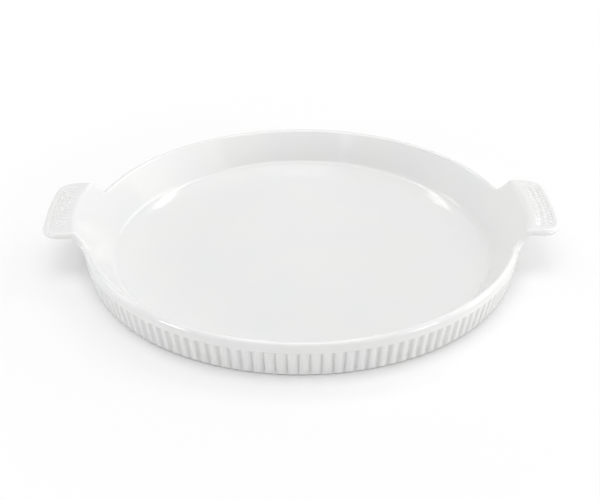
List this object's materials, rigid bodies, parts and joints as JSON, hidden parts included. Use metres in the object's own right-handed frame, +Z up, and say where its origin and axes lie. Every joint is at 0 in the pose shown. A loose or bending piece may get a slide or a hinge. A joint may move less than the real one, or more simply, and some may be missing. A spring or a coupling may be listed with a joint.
{
  "type": "fluted quiche dish",
  "caption": "Shallow round baking dish of white glazed stoneware: fluted outer wall, plain rounded rim, hollow-cornered floor, and a raised flat tab handle at each end.",
  "frame": {"origin": "centre of the circle that the dish stands on, on the table plane", "axes": "+Z up out of the dish, +X through the middle of the right handle, +Y away from the viewer of the picture"},
  "size_m": [0.3374, 0.29, 0.0342],
  "materials": {
    "white_glaze": "gloss",
    "bare_clay": "matt"
  },
  "bodies": {
    "root": {"floor": "white_glaze", "fluted_wall": "white_glaze", "rim": "white_glaze", "left_handle": "white_glaze", "right_handle": "white_glaze", "foot_ring": "bare_clay"}
  },
  "joints": []
}
